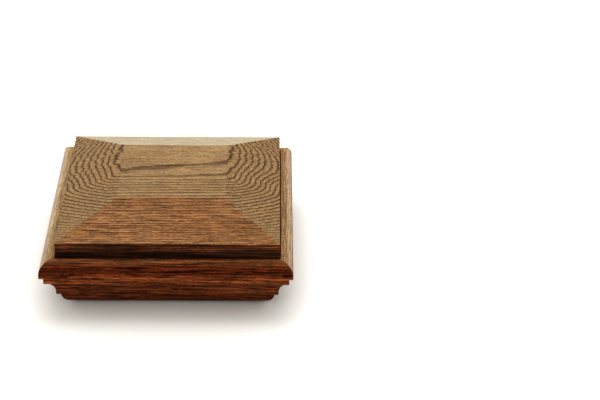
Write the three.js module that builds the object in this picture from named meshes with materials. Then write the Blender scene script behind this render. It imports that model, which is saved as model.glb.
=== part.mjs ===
// Cap of a square newel post in stained red oak. A solid block with a hipped top is glued
// on a frame of four mitred mouldings, and the frame slips over the head of the post.
// Millimetres, +Z up. The origin is on the underside, at the middle of the frame.
// +X runs along the grain of the block, and -Y is the front.

import * as THREE from 'three';

// Post and its fit
const postWidth = 127;
const postClearance = 0.8;

// Gap left between glued faces
const jointGap = 0.3;

// Moulding section, named from the underside up
const baseLand = 4.2;
const ovoloRadius = 12.7;
const ovoloNeck = 0.45;
const ovoloLedge = 3;
const coveLip = 1.55;
const coveRadius = 14.5;
const coveSweep = THREE.MathUtils.degToRad(61.15);
const filletLedge = 0.6;
const filletHeight = 6.25;
const nosingLedge = 2.95;
const nosingFace = 3.35;
const nosingRadius = 9;

// Block: the shelf is the strip of moulding that shows round it
const shelfWidth = 2.1;
const blockEdge = 12.3;
const hipRise = 15.5;
const flatWidth = 82.5;

// Small errors of the hand work: the block sits off the frame's middle, and the flat off the block's
const blockShift = { x: 0.96, y: -0.65 };
const flatShift = { x: 1.06, y: 0 };

// Straight steps in each arc of the section
const arcSteps = 16;

// Distances from the middle of the frame out to each vertical face of the section
const socketHalf = postWidth / 2 + postClearance;
const ovoloCentre = socketHalf + baseLand;
const ovoloFace = ovoloCentre + ovoloRadius;
const coveFoot = ovoloFace + ovoloLedge;
const coveCentre = coveFoot + coveRadius;
const coveHead = coveCentre - coveRadius * Math.cos(coveSweep);
const filletFace = coveHead + filletLedge;
const nosingReach = filletFace + nosingLedge;
const nosingCentre = nosingReach - nosingRadius;

// Heights of the section above the underside
const ovoloLedgeZ = ovoloRadius + ovoloNeck;
const coveFootZ = ovoloLedgeZ + coveLip;
const filletZ = coveFootZ + coveRadius * Math.sin(coveSweep);
const nosingZ = filletZ + filletHeight;
const nosingCentreZ = nosingZ + nosingFace;
const mouldingTopZ = nosingCentreZ + nosingRadius;

// Heights of the block
const seatZ = mouldingTopZ + jointGap;
const arrisZ = seatZ + blockEdge;
const flatZ = arrisZ + hipRise;
const blockHalf = nosingCentre - shelfWidth;

// Finish of the stained oak: the block's sawn faces took less of the red stain
function stainedOak(colour, roughness) {
  return new THREE.MeshStandardMaterial({ color: colour, roughness, metalness: 0 });
}

// Section of the moulding: x is the distance from the frame's middle, y the height
function mouldingSection() {
  const quarter = Math.PI / 2;
  const section = new THREE.Shape();
  section.moveTo(socketHalf, 0);
  section.lineTo(ovoloCentre, 0);
  section.absarc(ovoloCentre, ovoloRadius, ovoloRadius, -quarter, 0, false);
  section.lineTo(ovoloFace, ovoloLedgeZ);
  section.lineTo(coveFoot, ovoloLedgeZ);
  section.lineTo(coveFoot, coveFootZ);
  section.absarc(coveCentre, coveFootZ, coveRadius, Math.PI, Math.PI - coveSweep, true);
  section.lineTo(filletFace, filletZ);
  section.lineTo(filletFace, nosingZ);
  section.lineTo(nosingReach, nosingZ);
  section.lineTo(nosingReach, nosingCentreZ);
  section.absarc(nosingCentre, nosingCentreZ, nosingRadius, 0, quarter, false);
  section.lineTo(socketHalf, mouldingTopZ);
  section.closePath();
  return section;
}

// Front length of moulding. Each point of the section runs out to the 45 degree mitre at
// both ends, so a point further out makes a longer line.
function mitredLength(section) {
  const geometry = new THREE.ExtrudeGeometry(section, {
    depth: 2,
    steps: 1,
    bevelEnabled: false,
    curveSegments: arcSteps,
  });
  const mitreTrim = jointGap / Math.SQRT2;
  const points = geometry.getAttribute('position');
  for (let i = 0; i < points.count; i += 1) {
    const out = points.getX(i);
    const height = points.getY(i);
    const end = 1 - points.getZ(i);
    points.setXYZ(i, end * (out - mitreTrim), -out, height);
  }
  geometry.computeVertexNormals();
  return geometry;
}

// Solid of square rings, stacked from its underside to its top, each with its own middle
function squareStack(rings) {
  const corners = [[-1, -1], [1, -1], [1, 1], [-1, 1]];
  const points = [];
  for (const { half, middle, z } of rings) {
    for (const [sideX, sideY] of corners) {
      points.push(middle.x + sideX * half, middle.y + sideY * half, z);
    }
  }
  const triangles = [0, 2, 1, 0, 3, 2];
  for (let ring = 1; ring < rings.length; ring += 1) {
    for (let side = 0; side < 4; side += 1) {
      const start = 4 * (ring - 1) + side;
      const next = 4 * (ring - 1) + (side + 1) % 4;
      triangles.push(start, next, next + 4, start, next + 4, start + 4);
    }
  }
  const top = 4 * (rings.length - 1);
  triangles.push(top, top + 1, top + 2, top, top + 2, top + 3);
  const geometry = new THREE.BufferGeometry();
  geometry.setAttribute('position', new THREE.Float32BufferAttribute(points, 3));
  geometry.setIndex(triangles);
  geometry.computeVertexNormals();
  return geometry;
}

// Block: the innermost ring of its underside is the square that the post's end bears on
function hippedBlock() {
  const frameMiddle = { x: 0, y: 0 };
  const flatMiddle = { x: blockShift.x + flatShift.x, y: blockShift.y + flatShift.y };
  return squareStack([
    { half: postWidth / 2, middle: frameMiddle, z: seatZ },
    { half: blockHalf, middle: blockShift, z: seatZ },
    { half: blockHalf, middle: blockShift, z: arrisZ },
    { half: flatWidth / 2, middle: flatMiddle, z: flatZ },
  ]);
}

const cap = new THREE.Group();

// Frame: four lengths of one moulding, turned a quarter round the post one after another
const frameSides = ['moulding_front', 'moulding_right', 'moulding_back', 'moulding_left'];
const section = mouldingSection();
frameSides.forEach((name, side) => {
  const length = new THREE.Mesh(mitredLength(section), stainedOak(0x7a4322, 0.38));
  length.name = name;
  length.rotation.z = side * Math.PI / 2;
  cap.add(length);
});

// Block, resting on the shelf of the frame
const block = new THREE.Mesh(hippedBlock(), stainedOak(0x96704a, 0.45));
block.name = 'top_block';
cap.add(block);

export default cap;
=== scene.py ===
# Cap of a square newel post in stained and lacquered red oak, seen from above its front.
import math

import bpy
from mathutils import Matrix, Vector


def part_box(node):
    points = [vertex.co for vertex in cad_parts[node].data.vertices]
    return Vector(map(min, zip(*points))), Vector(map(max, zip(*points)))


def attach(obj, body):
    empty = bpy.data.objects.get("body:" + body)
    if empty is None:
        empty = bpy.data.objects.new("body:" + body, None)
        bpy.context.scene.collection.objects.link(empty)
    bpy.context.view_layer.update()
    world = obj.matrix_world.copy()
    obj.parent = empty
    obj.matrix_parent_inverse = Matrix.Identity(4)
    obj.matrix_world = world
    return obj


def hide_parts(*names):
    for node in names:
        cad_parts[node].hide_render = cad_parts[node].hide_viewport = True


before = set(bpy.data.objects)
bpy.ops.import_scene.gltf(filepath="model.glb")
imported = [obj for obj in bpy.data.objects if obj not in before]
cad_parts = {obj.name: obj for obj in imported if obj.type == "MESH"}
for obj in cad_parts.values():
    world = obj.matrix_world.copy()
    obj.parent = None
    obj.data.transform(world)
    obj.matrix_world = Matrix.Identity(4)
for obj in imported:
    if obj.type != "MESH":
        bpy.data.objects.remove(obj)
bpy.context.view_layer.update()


# Camera: a long lens above the front of the cap, a little to the right of its middle
# and tipped by less than a degree.
camera_place = Vector((0.0792, -1.2029, 0.7558))
camera_pitch = math.radians(30.488)
camera_heading = math.radians(1.046)
camera_roll = math.radians(0.807)
sensor_width_mm = 36
lens_mm = 105.83

camera_data = bpy.data.cameras.new("camera")
camera_data.sensor_width = sensor_width_mm
camera_data.lens = lens_mm
camera = bpy.data.objects.new("camera", camera_data)
heading = Matrix.Rotation(-camera_heading, 4, "Z")
pitch = Matrix.Rotation(math.pi / 2 - camera_pitch, 4, "X")
roll = Matrix.Rotation(camera_roll, 4, "Z")
camera.matrix_world = Matrix.Translation(camera_place) @ heading @ pitch @ roll
bpy.context.scene.collection.objects.link(camera)
bpy.context.scene.camera = camera


# Mouldings: four lengths of one red oak moulding, run with a nosing, a cove and an ovolo,
# mitred at 45 degrees and glued round the post. Stained red-brown and lacquered.
socket_half = 0.0643
ovolo_centre = (0.0685, 0.0127)
ovolo_radius = 0.0127
ovolo_ledge = (0.0842, 0.01315)
cove_foot_z = 0.0147
cove_radius = 0.0145
cove_sweep = math.radians(61.15)
fillet_face = 0.0923
fillet_z = 0.0274
nosing_z = 0.03365
nosing_centre = (0.08625, 0.037)
nosing_radius = 0.009
nosing_face = nosing_centre[0] + nosing_radius
moulding_top = 0.046
eased_corners = [
    (socket_half, 0),
    ovolo_ledge,
    (fillet_face, fillet_z),
    (nosing_face, nosing_z),
    (socket_half, moulding_top),
]
corner_easing = 0.0003
easing_steps = 3
glue_line = 0.00006
mitre_easing = 0.00015
arc_steps = 18
saw_waste = 0.02
quarter = math.pi / 2
same_place = 0.00001
same_facing = 0.999
moulding_smooth_degrees = 25


def select_vertices(piece, wanted):
    # Selects the vertices whose place passes the test
    bpy.ops.mesh.select_mode(type="VERT")
    bpy.ops.mesh.select_all(action="DESELECT")
    bpy.ops.object.mode_set(mode="OBJECT")
    for vertex in piece.data.vertices:
        vertex.select = wanted(vertex.co)
    bpy.ops.object.mode_set(mode="EDIT")


def select_faces(piece, wanted):
    # Selects the faces whose outward normal passes the test
    bpy.ops.mesh.select_mode(type="FACE")
    bpy.ops.mesh.select_all(action="DESELECT")
    bpy.ops.object.mode_set(mode="OBJECT")
    for face in piece.data.polygons:
        face.select = wanted(face.normal)
    bpy.ops.object.mode_set(mode="EDIT")


def finish_mesh(piece, smooth_degrees):
    # Turns the faces outwards and shades the rounds smooth, with flats that stay flat
    bpy.ops.mesh.select_all(action="SELECT")
    bpy.ops.mesh.normals_make_consistent(inside=False)
    bpy.ops.object.mode_set(mode="OBJECT")
    bpy.ops.object.shade_smooth_by_angle(angle=math.radians(smooth_degrees))
    bpy.ops.object.modifier_add(type="WEIGHTED_NORMAL")
    piece.modifiers[-1].keep_sharp = True
    bpy.ops.object.modifier_apply(modifier=piece.modifiers[-1].name)


def draw_to(start, end):
    # Draws a straight of the front section, given as distances out from the middle and up
    step = (0, start[0] - end[0], end[1] - start[1])
    bpy.ops.mesh.extrude_region_move(TRANSFORM_OT_translate={"value": step})


def draw_arc(centre, angle):
    middle = (0, -centre[0], centre[1])
    bpy.ops.mesh.spin(steps=arc_steps, angle=angle, center=middle, axis=(1, 0, 0))


# The section is drawn as one point that runs from the foot of the socket outwards and up
bpy.ops.object.select_all(action="DESELECT")
bpy.ops.mesh.primitive_plane_add(size=0.001, location=(0, -socket_half, 0))
front_moulding = bpy.context.object
front_moulding.name = "front_moulding"
bpy.ops.object.transform_apply(location=True, rotation=True, scale=True)
bpy.ops.object.mode_set(mode="EDIT")
bpy.ops.mesh.merge(type="CENTER")
ovolo_face = ovolo_centre[0] + ovolo_radius
cove_head = ovolo_ledge[0] + cove_radius * (1 - math.cos(cove_sweep))
draw_to((socket_half, 0), (ovolo_centre[0], 0))
draw_arc(ovolo_centre, quarter)
draw_to((ovolo_face, ovolo_centre[1]), (ovolo_face, ovolo_ledge[1]))
draw_to((ovolo_face, ovolo_ledge[1]), ovolo_ledge)
draw_to(ovolo_ledge, (ovolo_ledge[0], cove_foot_z))
draw_arc((ovolo_ledge[0] + cove_radius, cove_foot_z), -cove_sweep)
draw_to((cove_head, fillet_z), (fillet_face, fillet_z))
draw_to((fillet_face, fillet_z), (fillet_face, nosing_z))
draw_to((fillet_face, nosing_z), (nosing_face, nosing_z))
draw_to((nosing_face, nosing_z), (nosing_face, nosing_centre[1]))
draw_arc(nosing_centre, quarter)
draw_to((nosing_centre[0], moulding_top), (socket_half, moulding_top))
bpy.ops.mesh.select_all(action="SELECT")
bpy.ops.mesh.edge_face_add()


def at_eased_corner(place):
    return any((place - Vector((0, -out, up))).length < same_place for out, up in eased_corners)


select_vertices(front_moulding, at_eased_corner)
bpy.ops.mesh.bevel(affect="VERTICES", offset=corner_easing, segments=easing_steps)

# The section becomes a length a little too long, and both ends are sawn to the mitre
bpy.ops.mesh.select_all(action="SELECT")
blank_half = nosing_face + saw_waste
bpy.ops.transform.translate(value=(-blank_half, 0, 0))
bpy.ops.mesh.extrude_region_move(TRANSFORM_OT_translate={"value": (2 * blank_half, 0, 0)})
mitre_normals = [Vector((end, 1, 0)).normalized() for end in (-1, 1)]
for mitre_normal in mitre_normals:
    bpy.ops.mesh.select_all(action="SELECT")
    mitre_point = -glue_line / 2 * mitre_normal
    bpy.ops.mesh.bisect(plane_co=mitre_point, plane_no=mitre_normal, use_fill=True, clear_outer=True)
bpy.ops.mesh.select_all(action="SELECT")
bpy.ops.mesh.normals_make_consistent(inside=False)
for mitre_normal in mitre_normals:
    select_faces(front_moulding, lambda normal: normal.dot(mitre_normal) > same_facing)
    bpy.ops.mesh.region_to_loop()
    bpy.ops.mesh.bevel(offset=mitre_easing, segments=1)
finish_mesh(front_moulding, moulding_smooth_degrees)


def copy_round(piece, name, turns):
    # Copies a length of moulding and carries it round the post by quarter turns
    bpy.ops.object.select_all(action="DESELECT")
    piece.select_set(True)
    bpy.context.view_layer.objects.active = piece
    bpy.ops.object.duplicate(linked=False)
    copy = bpy.context.object
    copy.name = name
    copy.rotation_euler.z = turns * quarter
    bpy.ops.object.transform_apply(location=True, rotation=True, scale=True)
    return copy


right_moulding = copy_round(front_moulding, "right_moulding", 1)
back_moulding = copy_round(front_moulding, "back_moulding", 2)
left_moulding = copy_round(front_moulding, "left_moulding", 3)


# Red oak as a solid pattern, so that its lines run on from face to face of a piece.
# Vector is in millimetres with X along the grain, and Rings counts the growth rings outwards.
def give_input(tree, socket, value):
    # Gives an input a plain value, or links it to the output that feeds it
    if isinstance(value, bpy.types.NodeSocket):
        tree.links.new(value, socket)
    else:
        socket.default_value = value


def place_node(tree, kind, sockets=(), **settings):
    added = tree.nodes.new("ShaderNode" + kind)
    for setting, value in settings.items():
        setattr(added, setting, value)
    for socket, value in dict(sockets).items():
        give_input(tree, added.inputs[socket], value)
    return added


def reckon(tree, operation, *values):
    return place_node(tree, "Math", enumerate(values), operation=operation).outputs[0]


def stretch(tree, vector, scale):
    return place_node(tree, "VectorMath", {0: vector, 1: scale}, operation="MULTIPLY").outputs[0]


def ease(tree, value, span, levels=(0.0, 1.0)):
    # Runs softly from the first level to the second while the value runs over the span
    sockets = {
        "Value": value,
        "From Min": span[0],
        "From Max": span[1],
        "To Min": levels[0],
        "To Max": levels[1],
    }
    return place_node(tree, "MapRange", sockets, interpolation_type="SMOOTHSTEP").outputs[0]


def cloud(tree, vector, size_mm, detail, roughness=0.5):
    sockets = {"Vector": vector, "Scale": 1 / size_mm, "Detail": detail, "Roughness": roughness}
    return place_node(tree, "TexNoise", sockets).outputs["Fac"]


def blend_colours(tree, share, first, second, blend="MIX"):
    sockets = {0: share, 6: first, 7: second}
    return place_node(tree, "Mix", sockets, data_type="RGBA", blend_type=blend).outputs[2]


def draw_curve(node, points):
    # Draws a curve through the points, which run from one end of the graph to the other
    curve = node.mapping.curves[0]
    for end, point in zip(curve.points, (points[0], points[-1])):
        end.location = point
    for place, value in points[1:-1]:
        curve.points.new(place, value)
    node.mapping.update()


def start_group(name, inputs, outputs):
    # A group whose inputs and outputs are given by kind
    group = bpy.data.node_groups.new(name, "ShaderNodeTree")
    for in_out, kinds in (("INPUT", inputs), ("OUTPUT", outputs)):
        for kind, sockets in kinds.items():
            for socket in sockets:
                group.interface.new_socket(socket, in_out=in_out, socket_type="NodeSocket" + kind)
    entry = group.nodes.new("NodeGroupInput")
    leaving = group.nodes.new("NodeGroupOutput")
    return group, entry.outputs, leaving.inputs


# Clouds of the figure: how much of their place counts along the grain, across it and up it,
# their size in millimetres, and their detail
figure_clouds = {
    "wobble": ((0.06, 1, 0.3), 14, 2),
    "jog": ((0.10, 1, 0.3), 5, 1),
    "tooth": ((0.08, 1, 0.6), 1.2, 1),
    "clump": ((0.10, 1, 1), 1.1, 3),
    "dash": ((0.12, 1, 1), 0.8, 1),
    "ribbon": ((0.04, 1, 1), 2.4, 2),
    "fleck": ((0.38, 1, 1), 0.85, 1),
    "patch": ((0.35, 1, 1), 22, 3),
}
cloud_average = 0.5
jog_weight = 1.5
tooth_weight = 1.1
ring_profile = [(0, 0), (0.04, 1), (0.21, 1), (0.29, 0.4), (0.42, 0.15), (0.6, 0), (1, 0)]
ring_strengths = (0.85, 1.0)
clump_span = (0.33, 0.58)
clump_strengths = (0.7, 1.15)
pore_mm = 0.55
pore_along = 0.035
pore_span = (0.16, 0.42)
late_pores = 0.15
streak_mm = 0.5
streak_along = 0.022
streak_detail = 2
streak_span = (0.75, 0.86)
dash_weight = 0.45
ribbon_span = (0.40, 0.62)
fibre_mm = 0.7
fibre_along = 0.05
fibre_detail = 4
fibre_roughness = 0.6
fleck_weight = 0.6

figure_masks = ("Early", "Pores", "Streaks", "Ribbon", "Fibre", "Patch")
oak_figure, given, made = start_group(
    "oak figure",
    {"Vector": ["Vector"], "Float": ["Rings", "Waviness", "Streak Fineness"]},
    {"Float": figure_masks},
)
clouds = {}
for name, (scale, size_mm, detail) in figure_clouds.items():
    clouds[name] = cloud(oak_figure, stretch(oak_figure, given["Vector"], scale), size_mm, detail)

# Growth rings: the clouds make their lines waver, and each ring opens with a dark early band
waves = reckon(oak_figure, "MULTIPLY_ADD", clouds["jog"], jog_weight, clouds["wobble"])
waves = reckon(oak_figure, "MULTIPLY_ADD", clouds["tooth"], tooth_weight, waves)
waves = reckon(oak_figure, "SUBTRACT", waves, cloud_average * (1 + jog_weight + tooth_weight))
rings = reckon(oak_figure, "MULTIPLY_ADD", waves, given["Waviness"], given["Rings"])
ring_number = reckon(oak_figure, "FLOOR", rings)
strength = place_node(oak_figure, "TexWhiteNoise", {"W": ring_number}, noise_dimensions="1D")
strength = ease(oak_figure, strength.outputs["Value"], (0, 1), ring_strengths)
band = place_node(oak_figure, "FloatCurve", {"Value": reckon(oak_figure, "FRACT", rings)})
draw_curve(band, ring_profile)
early = reckon(oak_figure, "MULTIPLY", band.outputs[0], strength)
clumps = ease(oak_figure, clouds["clump"], clump_span, clump_strengths)
early = reckon(oak_figure, "MULTIPLY", early, clumps)

# Pores gather in the early wood, streaks and ribbons are long, and the fibre is short
pore_place = stretch(oak_figure, given["Vector"], (pore_along / pore_mm, 1 / pore_mm, 1 / pore_mm))
pores = place_node(oak_figure, "TexVoronoi", {"Vector": pore_place, "Scale": 1.0}).outputs["Distance"]
pores = ease(oak_figure, pores, pore_span, (1.0, 0.0))
open_wood = reckon(oak_figure, "MULTIPLY_ADD", early, 1 - late_pores, late_pores)
streak_place = stretch(oak_figure, given["Vector"], (streak_along, 1, 1))
streak_place = place_node(
    oak_figure, "VectorMath", {0: streak_place, "Scale": given["Streak Fineness"]}, operation="SCALE"
).outputs[0]
streaks = cloud(oak_figure, streak_place, streak_mm, streak_detail)
streaks = reckon(oak_figure, "MULTIPLY_ADD", clouds["dash"], dash_weight, streaks)
fibre_place = stretch(oak_figure, given["Vector"], (fibre_along, 1, 1))
fibre = cloud(oak_figure, fibre_place, fibre_mm, fibre_detail, fibre_roughness)
flecks = reckon(oak_figure, "SUBTRACT", clouds["fleck"], cloud_average)
oak_figure.links.new(early, made["Early"])
oak_figure.links.new(reckon(oak_figure, "MULTIPLY", pores, open_wood), made["Pores"])
oak_figure.links.new(ease(oak_figure, streaks, streak_span), made["Streaks"])
oak_figure.links.new(ease(oak_figure, clouds["ribbon"], ribbon_span), made["Ribbon"])
oak_figure.links.new(reckon(oak_figure, "MULTIPLY_ADD", flecks, fleck_weight, fibre), made["Fibre"])
oak_figure.links.new(clouds["patch"], made["Patch"])


# Stain, painted shade and lacquer on oak: the stain gathers in the open early wood, and the lacquer
# sinks into the pores, so both the colour and the gloss follow the figure. Slopes and upright faces
# are darkened and reddened as painted shade for how they face the light.
patch_span = (0.35, 0.68)
fibre_span = (0.30, 0.70)
fibre_shades = (1.40, 0.60)
slope_span = (0.05, 0.34)
upright_span = (0.35, 0.80)
pore_stain = 0.35
slope_pore_stain = 0.5
lacquer_gloss = 0.40
early_dullness = 0.12
pore_dullness = 0.15
lacquer_span = (0.05, 0.60)
lacquer_levels = (1.0, 0.15)
fibre_relief = 0.25
early_relief = -0.25

oak_stain_and_shade, given, made = start_group(
    "oak stain and painted shade",
    {
        "Float": [
            *figure_masks,
            "Upright",
            "Early Strength",
            "Streak Strength",
            "Ribbon Strength",
            "Lacquer",
        ],
        "Color": [
            "Late Colour",
            "Patch Colour",
            "Early Colour",
            "Pore Colour",
            "Slope Shade Tint",
            "Upright Shade And Highlight",
        ],
    },
    {"Color": ["Colour"], "Float": ["Roughness", "Coat", "Height"]},
)
patches = ease(oak_stain_and_shade, given["Patch"], patch_span)
colour = blend_colours(oak_stain_and_shade, patches, given["Late Colour"], given["Patch Colour"])
fine = ease(oak_stain_and_shade, given["Fibre"], fibre_span, fibre_shades)
broad = reckon(oak_stain_and_shade, "MULTIPLY", given["Ribbon"], given["Ribbon Strength"])
broad = reckon(oak_stain_and_shade, "SUBTRACT", 1.0, broad)
shade = reckon(oak_stain_and_shade, "MULTIPLY", fine, broad)
grey = place_node(oak_stain_and_shade, "CombineColor", {0: shade, 1: shade, 2: shade}).outputs[0]
colour = blend_colours(oak_stain_and_shade, 1.0, colour, grey, "MULTIPLY")
early_share = reckon(oak_stain_and_shade, "MULTIPLY", given["Early"], given["Early Strength"])
colour = blend_colours(oak_stain_and_shade, early_share, colour, given["Early Colour"])
slope = ease(oak_stain_and_shade, given["Upright"], slope_span)
pore_share = reckon(oak_stain_and_shade, "MULTIPLY_ADD", slope, slope_pore_stain, pore_stain)
pore_share = reckon(oak_stain_and_shade, "MULTIPLY", given["Pores"], pore_share)
dark_share = reckon(oak_stain_and_shade, "MULTIPLY", given["Streaks"], given["Streak Strength"])
dark_share = reckon(oak_stain_and_shade, "MAXIMUM", dark_share, pore_share)
colour = blend_colours(oak_stain_and_shade, dark_share, colour, given["Pore Colour"])
# Painted shade: slopes, then upright faces, are darkened and reddened for how they face the light,
# and a value above one paints a highlight
painted_shade = blend_colours(oak_stain_and_shade, slope, (1, 1, 1, 1), given["Slope Shade Tint"])
upright = ease(oak_stain_and_shade, given["Upright"], upright_span)
painted_shade = blend_colours(oak_stain_and_shade, upright, painted_shade, given["Upright Shade And Highlight"])
gloss = reckon(oak_stain_and_shade, "MULTIPLY_ADD", given["Early"], early_dullness, lacquer_gloss)
gloss = reckon(oak_stain_and_shade, "MULTIPLY_ADD", given["Pores"], pore_dullness, gloss)
coat = ease(oak_stain_and_shade, given["Upright"], lacquer_span, lacquer_levels)
height = reckon(oak_stain_and_shade, "MULTIPLY", given["Pores"], -1.0)
height = reckon(oak_stain_and_shade, "MULTIPLY_ADD", given["Fibre"], fibre_relief, height)
height = reckon(oak_stain_and_shade, "MULTIPLY_ADD", given["Early"], early_relief, height)
oak_stain_and_shade.links.new(blend_colours(oak_stain_and_shade, 1.0, colour, painted_shade, "MULTIPLY"), made["Colour"])
oak_stain_and_shade.links.new(gloss, made["Roughness"])
oak_stain_and_shade.links.new(reckon(oak_stain_and_shade, "MULTIPLY", coat, given["Lacquer"]), made["Coat"])
oak_stain_and_shade.links.new(height, made["Height"])

mm_per_m = 1000
level_facing = 0.5
lacquer_roughness = 0.25
lacquer_ior = 1.2


def start_wood(name):
    # A wood material and its point in metres
    material = bpy.data.materials.new(name)
    material.use_nodes = True
    tree = material.node_tree
    tree.nodes.clear()
    return material, tree, place_node(tree, "TexCoord").outputs["Object"]


def read_mark(tree, name):
    return place_node(tree, "Attribute", attribute_name=name).outputs["Fac"]


def finish_wood(tree, figure_values, stain_and_shade_values, upright, relief_m):
    # Figure, then stain and painted shade, then the lacquered surface that shows them. A pair of
    # values goes from the level faces to the slopes
    figure = place_node(tree, "Group", node_tree=oak_figure)
    for socket, value in figure_values.items():
        give_input(tree, figure.inputs[socket], value)
    stain_and_shade = place_node(tree, "Group", node_tree=oak_stain_and_shade)
    for mask in figure_masks:
        tree.links.new(figure.outputs[mask], stain_and_shade.inputs[mask])
    tree.links.new(upright, stain_and_shade.inputs["Upright"])
    for socket, value in stain_and_shade_values.items():
        if isinstance(value, tuple) and len(value) == 2:
            value = ease(tree, upright, slope_span, value)
        give_input(tree, stain_and_shade.inputs[socket], value)
    relief = place_node(tree, "Bump", {"Height": stain_and_shade.outputs["Height"], "Distance": relief_m})
    surface = place_node(tree, "BsdfPrincipled", {
        "Base Color": stain_and_shade.outputs["Colour"],
        "Roughness": stain_and_shade.outputs["Roughness"],
        "Coat Weight": stain_and_shade.outputs["Coat"],
        "Normal": relief.outputs["Normal"],
    })
    surface.inputs["Specular IOR Level"].default_value = 0.0
    surface.inputs["Coat Roughness"].default_value = lacquer_roughness
    surface.inputs["Coat IOR"].default_value = lacquer_ior
    place_node(tree, "OutputMaterial", {"Surface": surface.outputs["BSDF"]})


def mark_faces(piece):
    # Stores how upright each face is, where a slope at the front counts as its facing forwards,
    # how far it faces left or right, which is end grain on the block, and how far backwards
    for name in ("upright", "sideways", "backwards"):
        piece.data.attributes.new(name, "FLOAT", "CORNER")
    upright = piece.data.attributes["upright"].data
    sideways = piece.data.attributes["sideways"].data
    backwards = piece.data.attributes["backwards"].data
    for corner, normal in enumerate(piece.data.corner_normals):
        facing = normal.vector
        upright[corner].value = min(1, max(0, 1 - facing.z / level_facing, -facing.y))
        sideways[corner].value = abs(facing.x)
        backwards[corner].value = max(0, facing.y)


def dress(piece, material, node_name):
    # Puts the wood on a piece, which then stands in for its solid
    mark_faces(piece)
    piece.data.materials.clear()
    piece.data.materials.append(material)
    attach(piece, "root")
    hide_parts(node_name)


# Each length is sawn from a stick of its own. After its quarter turns come the stick's place
# in the log in millimetres, its tone, and the streaks and the painted red shade of its level faces
mouldings = {
    "moulding_front": (front_moulding, 0, (12, 31, 7), (1.0, 1.0, 1.0), 0.4, 0.27),
    "moulding_right": (right_moulding, 1, (95, 14, 52), (0.99, 0.95, 0.94), 0.6, 0),
    "moulding_back": (back_moulding, 2, (230, 60, 81), (1.0, 1.0, 1.0), 0.4, 0),
    "moulding_left": (left_moulding, 3, (310, 84, 23), (0.96, 1.02, 1.08), 0.3, 0),
}
moulding_ring_mm = 2.1
moulding_ring_lean = math.radians(38)
moulding_ring_run = 0.012
moulding_waviness = 0.6
moulding_streaks = 0.62
moulding_relief = 0.00012
moulding_late_colour = (0.410, 0.265, 0.120)
moulding_patch_colour = (0.365, 0.222, 0.093)
slope_streaks = 0.95
moulding_stain_and_shade = {
    "Early Colour": (0.120, 0.060, 0.026, 1),
    "Pore Colour": (0.030, 0.013, 0.007, 1),
    # Painted shade: the nosing's round and the other forward slopes are darkened and reddened
    "Slope Shade Tint": (0.76, 0.44, 0.33, 1),
    "Early Strength": (0.30, 0.55),
    "Ribbon Strength": (0.15, 0.45),
    "Lacquer": 1.0,
}

# Painted shade and light on the upright faces by their share of the moulding's height: the ovolo
# and the cove are painted deep red as shade, the fillet is painted paler as lit from the front,
# and the nosing is painted darker below its level top as shade
moulding_painted_shades = [
    (0.00, (0.385, 0.145, 0.060, 1)),
    (0.28, (0.415, 0.185, 0.140, 1)),
    (0.34, (0.540, 0.260, 0.214, 1)),
    (0.58, (0.540, 0.260, 0.214, 1)),
    (0.61, (0.810, 0.405, 0.305, 1)),
    (0.72, (0.810, 0.405, 0.305, 1)),
    (0.76, (0.800, 0.375, 0.275, 1)),
    (0.84, (0.435, 0.158, 0.110, 1)),
]

# Painted shadow: the corner under the block's edge is painted dark red as its contact shadow
block_half = 0.08415
block_shift = (0.00096, -0.00065)
corner_shade_span = (block_half + 0.0006, block_half + 0.0013)
corner_shade_level = 0.8

for node_name, (piece, turns, stick_place, tone, level_streaks, level_shade) in mouldings.items():
    material, tree, place = start_wood(piece.name)
    along_grain = place_node(tree, "Mapping", {
        "Vector": place,
        "Location": stick_place,
        "Rotation": (0, 0, -turns * quarter),
        "Scale": (mm_per_m, mm_per_m, mm_per_m),
    }).outputs[0]
    along, across, up = place_node(tree, "SeparateXYZ", {0: along_grain}).outputs
    rings = reckon(tree, "MULTIPLY", across, math.sin(moulding_ring_lean) / moulding_ring_mm)
    rings = reckon(tree, "MULTIPLY_ADD", up, math.cos(moulding_ring_lean) / moulding_ring_mm, rings)
    rings = reckon(tree, "MULTIPLY_ADD", along, moulding_ring_run, rings)
    where = place_node(tree, "SeparateXYZ", {0: place}).outputs
    painted_shades = place_node(tree, "ValToRGB", {"Fac": reckon(tree, "DIVIDE", where[2], moulding_top)})
    marks = painted_shades.color_ramp.elements
    for stop, (share, painted_shade) in enumerate(moulding_painted_shades):
        mark = marks[stop] if stop < len(marks) else marks.new(share)
        mark.position = share
        mark.color = painted_shade
    stick_stain_and_shade = {
        **moulding_stain_and_shade,
        "Late Colour": (*(value * share for value, share in zip(moulding_late_colour, tone)), 1),
        "Patch Colour": (*(value * share for value, share in zip(moulding_patch_colour, tone)), 1),
        "Upright Shade And Highlight": painted_shades.outputs["Color"],
        "Streak Strength": (level_streaks, slope_streaks),
    }
    # Painted shadow: a band round the foot of the block counts as upright and takes its dark red
    # shade
    aside = reckon(tree, "ABSOLUTE", reckon(tree, "SUBTRACT", where[0], block_shift[0]))
    ahead = reckon(tree, "ABSOLUTE", reckon(tree, "SUBTRACT", where[1], block_shift[1]))
    out = reckon(tree, "MAXIMUM", aside, ahead)
    corner = ease(tree, out, corner_shade_span, (corner_shade_level, level_shade))
    upright = reckon(tree, "MAXIMUM", read_mark(tree, "upright"), corner)
    stick_figure = {
        "Vector": along_grain,
        "Rings": rings,
        "Waviness": moulding_waviness,
        "Streak Fineness": moulding_streaks,
    }
    finish_wood(tree, stick_figure, stick_stain_and_shade, upright, moulding_relief)
    dress(piece, material, node_name)


# Block: one solid piece of flat-sawn red oak with the grain from left to right, so its left
# and right hips are end grain. Four bevel cuts on the saw leave a square flat on top.
block_low, block_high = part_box("top_block")
block_foot = moulding_top + glue_line
hip_rise = 0.0155
flat_half = 0.04125
flat_middle = (0.00202, -0.00065)
arris_z = block_high.z - hip_rise
block_easing = 0.0003
block_smooth_degrees = 30

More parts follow.
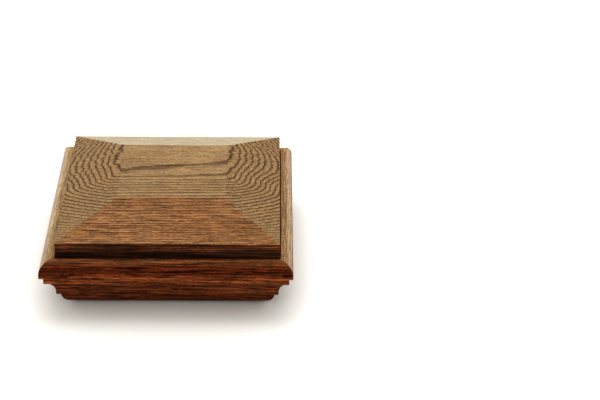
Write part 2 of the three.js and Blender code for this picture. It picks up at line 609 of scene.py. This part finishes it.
bpy.ops.object.select_all(action="DESELECT")
block_middle = ((block_low.x + block_high.x) / 2, (block_low.y + block_high.y) / 2)
block_size = (block_high.x - block_low.x, block_high.y - block_low.y, block_high.z - block_foot)
block_centre = (*block_middle, (block_foot + block_high.z) / 2)
bpy.ops.mesh.primitive_cube_add(size=1, location=block_centre, scale=block_size)
block = bpy.context.object
block.name = "hipped_block"
bpy.ops.object.transform_apply(location=True, rotation=True, scale=True)
bpy.ops.object.mode_set(mode="EDIT")
for side in (Vector((1, 0)), Vector((0, 1)), Vector((-1, 0)), Vector((0, -1))):
    reach = abs(side.x) * block_size[0] / 2 + abs(side.y) * block_size[1] / 2
    foot = Vector(block_middle) + side * reach
    head = Vector(flat_middle) + side * flat_half
    run = (foot - head).dot(side)
    cut_normal = Vector((side.x * hip_rise, side.y * hip_rise, run)).normalized()
    cut_point = Vector((foot.x, foot.y, arris_z))
    bpy.ops.mesh.select_all(action="SELECT")
    bpy.ops.mesh.bisect(plane_co=cut_point, plane_no=cut_normal, use_fill=True, clear_outer=True)
bpy.ops.mesh.select_all(action="SELECT")
bpy.ops.mesh.normals_make_consistent(inside=False)
bpy.ops.mesh.bevel(offset=block_easing, segments=easing_steps)
finish_mesh(block, block_smooth_degrees)

# Growth rings of the block, counted from front to back at its middle height. Two straight runs
# meet at the front, a step follows them, and a third run rises at the back. A run goes through
# a place in millimetres and its count of rings
front_place = (-62, 11.3)
far_front_rise = -0.305
front_rise = -0.215
front_softness = 1.0
step_span_mm = (-3, 25)
step_counts = (0, -1.9)
bend_softness = 2.5
back_place = (60, 0.3)
back_rise = 0.178
back_softness = 3.5
ring_start = 0.12
ring_skew = 0.03
ring_leans = (0.0105, -0.002)
ring_lean_span_mm = (5, 45)
ring_middle_mm = 66.35
flat_span_mm = (5.0, 7.75)
flat_drop_mm = 0.95
front_ring_mm = 1.95
front_rings_span_mm = (-40, -2)
narrow_ring_mm = 1.5
back_ring_mm = 1.9
back_rings_span_mm = (2, 30)
bend_span_mm = (-14, -4)
bend_waviness = (0.22, 0.6)
flat_waviness = 0.5

# Finish of the block: marks run from the flat to end grain over the facing span, and to the
# upright edge over the edge span. The early wood is faint at the very front
facing_span = (0.05, 0.30)
edge_span = (0.5, 0.9)
flat_early = 0.75
faint_span_mm = (-75, -25)
faint_early = 0.65
ribbon_strengths = (0.10, 0.70)
lacquer_strengths = (0.8, 0.5)
block_streaks = 1.0
block_relief = 0.00010
late_colour = (0.342, 0.231, 0.121, 1)
end_colour = (0.304, 0.199, 0.100, 1)
patch_colour = (0.318, 0.203, 0.096, 1)
# Painted sheen: the back slope is painted pale for the sheen it catches from behind
back_sheen_colour = (0.370, 0.278, 0.138, 1)
# Painted highlight along the top arris of the upright edge
arris_highlight_tint = (1.15, 0.72, 0.48, 1)
arris_highlight_span_mm = (57.9, 58.4)
# Painted shade on the upright edge: lighter on the end-grain sides, and darkest towards its foot as
# painted contact shadow
edge_shade_tint = (0.540, 0.300, 0.235, 1)
end_edge_shade_tint = (0.660, 0.440, 0.330, 1)
foot_shade_tint = (0.205, 0.123, 0.120, 1)
foot_shade_span_mm = (48.5, 54.5)

material, tree, place = start_wood("hipped_block")
in_mm = place_node(tree, "Mapping", {"Vector": place, "Scale": (mm_per_m, mm_per_m, mm_per_m)})
in_mm = in_mm.outputs[0]
x_mm, y_mm, z_mm = place_node(tree, "SeparateXYZ", {0: in_mm}).outputs
across_mm = reckon(tree, "MULTIPLY_ADD", x_mm, ring_skew, y_mm)


def ring_run(place, rise):
    # Counts the rings along a straight run through the place, with so many to a millimetre
    return reckon(tree, "MULTIPLY_ADD", across_mm, rise, place[1] - rise * place[0])


far_front = ring_run(front_place, far_front_rise)
front = ring_run(front_place, front_rise)
rings = reckon(tree, "SMOOTH_MAX", far_front, front, front_softness)
step = ease(tree, across_mm, step_span_mm, step_counts)
rings = reckon(tree, "SMOOTH_MAX", rings, step, bend_softness)
rings = reckon(tree, "SMOOTH_MAX", rings, ring_run(back_place, back_rise), back_softness)
lean = ease(tree, y_mm, ring_lean_span_mm, ring_leans)
rings = reckon(tree, "MULTIPLY_ADD", x_mm, lean, rings)
above_mm = reckon(tree, "SUBTRACT", z_mm, ring_middle_mm)
drop_mm = ease(tree, above_mm, flat_span_mm, (0, flat_drop_mm))
above_mm = reckon(tree, "SUBTRACT", above_mm, drop_mm)
back_width = ease(tree, across_mm, back_rings_span_mm, (narrow_ring_mm, back_ring_mm))
front_width = ease(tree, across_mm, front_rings_span_mm, (front_ring_mm, narrow_ring_mm))
ring_width = reckon(tree, "MAXIMUM", back_width, front_width)
rings = reckon(tree, "SUBTRACT", rings, reckon(tree, "DIVIDE", above_mm, ring_width))
rings = reckon(tree, "ADD", rings, ring_start)

sideways = read_mark(tree, "sideways")
upright = read_mark(tree, "upright")
backwards = ease(tree, read_mark(tree, "backwards"), facing_span)
waviness = ease(tree, across_mm, bend_span_mm, bend_waviness)
smoothing = ease(tree, sideways, facing_span, (flat_waviness, 1.0))
waviness = reckon(tree, "MULTIPLY", waviness, smoothing)
# Painted shade on the upright edge, with painted contact shadow towards its foot and less shade on
# the end-grain sides
edge = blend_colours(tree, ease(tree, z_mm, foot_shade_span_mm), foot_shade_tint, edge_shade_tint)
edge = blend_colours(tree, ease(tree, sideways, edge_span), edge, end_edge_shade_tint)
early_strength = ease(tree, sideways, facing_span, (flat_early, 1.0))
faint = ease(tree, across_mm, faint_span_mm, (faint_early, 1.0))
early_strength = reckon(tree, "MULTIPLY", early_strength, faint)
end_share = ease(tree, sideways, facing_span)
level_colour = blend_colours(tree, end_share, late_colour, end_colour)
block_figure = {
    "Vector": in_mm,
    "Rings": rings,
    "Waviness": waviness,
    "Streak Fineness": block_streaks,
}
block_stain_shade_and_sheen = {
    # Painted sheen on the back slope
    "Late Colour": blend_colours(tree, backwards, level_colour, back_sheen_colour),
    "Patch Colour": blend_colours(tree, backwards, patch_colour, back_sheen_colour),
    "Early Colour": (0.075, 0.031, 0.009, 1),
    "Pore Colour": (0.030, 0.017, 0.009, 1),
    # Painted shade: the front slope is darkened and reddened
    "Slope Shade Tint": (1.05, 0.815, 0.71, 1),
    # Painted shade on the upright edge, with a painted highlight along its top arris
    "Upright Shade And Highlight": blend_colours(tree, ease(tree, z_mm, arris_highlight_span_mm), edge, arris_highlight_tint),
    "Early Strength": reckon(tree, "MAXIMUM", early_strength, ease(tree, upright, edge_span)),
    "Streak Strength": (0.2, 0.78),
    "Ribbon Strength": ease(tree, upright, edge_span, ribbon_strengths),
    "Lacquer": ease(tree, sideways, facing_span, lacquer_strengths),
}
finish_wood(tree, block_figure, block_stain_shade_and_sheen, upright, block_relief)
dress(block, material, "top_block")


# Studio: a pale floor, one large soft light above and behind the cap, and a soft pale
# surround that is dimmer than the light but for a bright low sweep behind the cap.
floor_half = 6.0
floor_colour = (0.90, 0.90, 0.895, 1)
floor_roughness = 0.9
floor_shine = 0.05
bpy.ops.object.select_all(action="DESELECT")
bpy.ops.mesh.primitive_plane_add(size=2 * floor_half, location=(0, 0, 0))
floor = bpy.context.object
floor.name = "floor"
floor_paint = bpy.data.materials.new("floor")
floor_paint.use_nodes = True
floor_surface = floor_paint.node_tree.nodes["Principled BSDF"]
floor_surface.inputs["Base Color"].default_value = floor_colour
floor_surface.inputs["Roughness"].default_value = floor_roughness
floor_surface.inputs["Specular IOR Level"].default_value = floor_shine
floor.data.materials.append(floor_paint)

surround_colour = (1, 0.985, 0.93, 1)
glow_span = (-0.6, 0.8)
glow_levels = (1.15, 1.0)
sweep_span = (0.3, 0.8)
sweep_height = (0.0, 0.30)
sweep_glow = 3.4
surround = bpy.data.worlds.new("surround")
surround.use_nodes = True
surround_tree = surround.node_tree
looking = place_node(surround_tree, "TexCoord").outputs["Generated"]
_, looking_back, looking_up = place_node(surround_tree, "SeparateXYZ", {0: looking}).outputs
behind = ease(surround_tree, looking_back, sweep_span)
low = ease(surround_tree, looking_up, sweep_height, (1.0, 0.0))
sweep = reckon(surround_tree, "MULTIPLY", behind, low)
glow = ease(surround_tree, looking_back, glow_span, glow_levels)
glow = reckon(surround_tree, "MULTIPLY_ADD", sweep, sweep_glow, glow)
background = surround_tree.nodes["Background"]
background.inputs["Color"].default_value = surround_colour
surround_tree.links.new(glow, background.inputs["Strength"])
bpy.context.scene.world = surround

light_place = Vector((0, 0.9, 2.0))
light_aim = Vector((0, 0, 0.04))
light_width = 2.0
light_power = 28
lamp = bpy.data.lights.new("light_above", "AREA")
lamp.shape = "RECTANGLE"
lamp.size = light_width
lamp.size_y = light_width
lamp.energy = light_power
holder = bpy.data.objects.new("light_above", lamp)
holder.location = light_place
holder.rotation_euler = (light_aim - light_place).to_track_quat("-Z", "Y").to_euler()
bpy.context.scene.collection.objects.link(holder)

picture_gamma = 0.8
bpy.context.scene.view_settings.view_transform = "Standard"
bpy.context.scene.view_settings.gamma = picture_gamma
